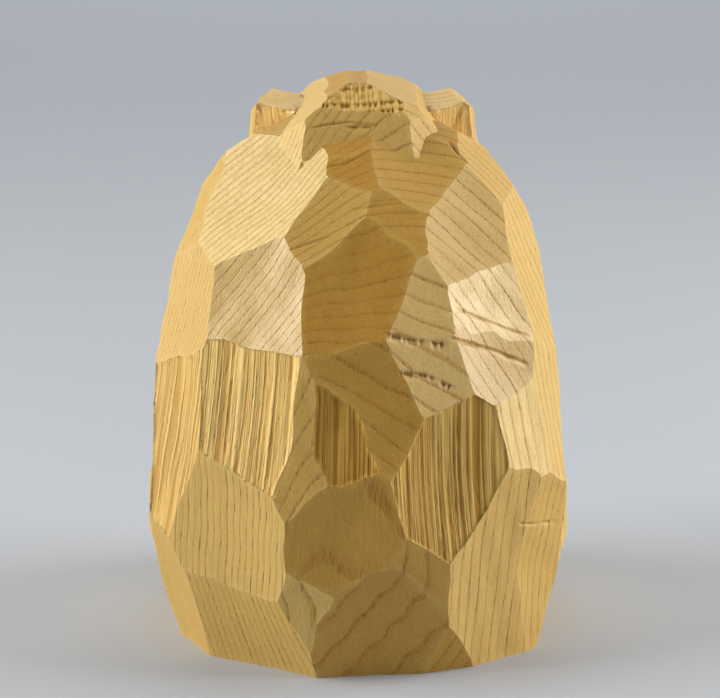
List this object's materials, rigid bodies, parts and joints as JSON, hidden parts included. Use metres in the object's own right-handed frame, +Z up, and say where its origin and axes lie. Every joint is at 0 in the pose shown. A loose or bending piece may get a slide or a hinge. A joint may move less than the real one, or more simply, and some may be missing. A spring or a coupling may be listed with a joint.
{
  "type": "carved wooden figurine",
  "caption": "Small seated bear figurine, hewn from a block of pale wood with broad flat gouge cuts; stands free on its flat base.",
  "frame": {"origin": "on the resting face, under the middle of the figure's outline", "axes": "+Z up along the grain, from the base to the crown; the bear faces -Y, and its left side is at +X"},
  "size_m": [0.0861, 0.0913, 0.1129],
  "materials": {
    "pale_ash": "bare, ring-porous hardwood, gouge-cut, grain upright",
    "black_glass": "gloss, opaque",
    "steel_wire": "drawn wire"
  },
  "bodies": {
    "root": {"carved_body": "pale_ash", "eye_bead_left": "black_glass", "eye_bead_right": "black_glass", "eye_shank_left": "steel_wire", "eye_shank_right": "steel_wire"}
  },
  "joints": []
}
